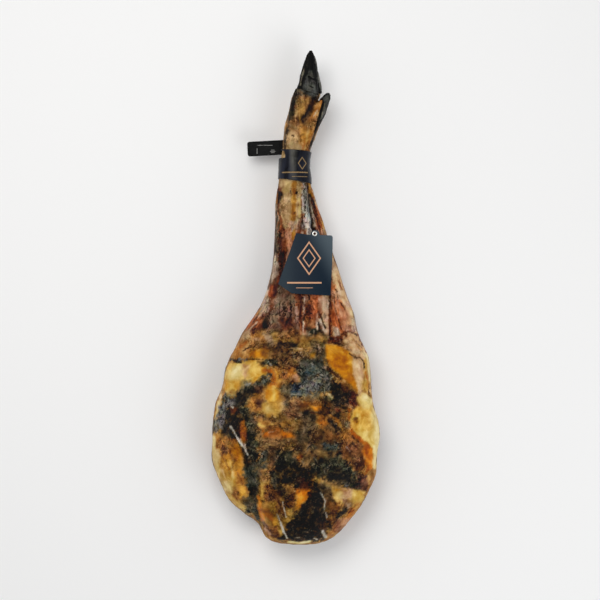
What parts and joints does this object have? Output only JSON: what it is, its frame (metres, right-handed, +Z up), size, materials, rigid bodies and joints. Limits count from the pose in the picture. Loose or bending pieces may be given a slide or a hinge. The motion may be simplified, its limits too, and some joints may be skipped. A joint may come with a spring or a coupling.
{
  "type": "cured ham",
  "caption": "Whole dry-cured ham on the bone with its trotter, lying on its inner side, with a printed ankle band, a strapped plastic seal and a card tag with a metal eyelet.",
  "frame": {"origin": "under the middle of the whole ham, on the surface it lies on", "axes": "+Y from the butt to the hoof, +Z up out of the shown outer side, +X to the right of a viewer who looks down on it with the hoof away from them"},
  "size_m": [0.2866, 0.8404, 0.1301],
  "materials": {
    "ham_skin": "oily cured fat, mould, dried lean and skin",
    "horn": "worn black hoof horn",
    "band_film": "thin dark navy printed film",
    "seal_plastic": "black moulded plastic",
    "tag_card": "dark navy laminated card",
    "eyelet_steel": "plated metal"
  },
  "bodies": {
    "root": {"ham": "ham_skin", "claw_near": "horn", "claw_far": "horn", "dewclaw_near": "horn", "dewclaw_far": "horn", "ankle_band": "band_film", "seal": "seal_plastic", "tag": "tag_card", "eyelet": "eyelet_steel"}
  },
  "joints": []
}
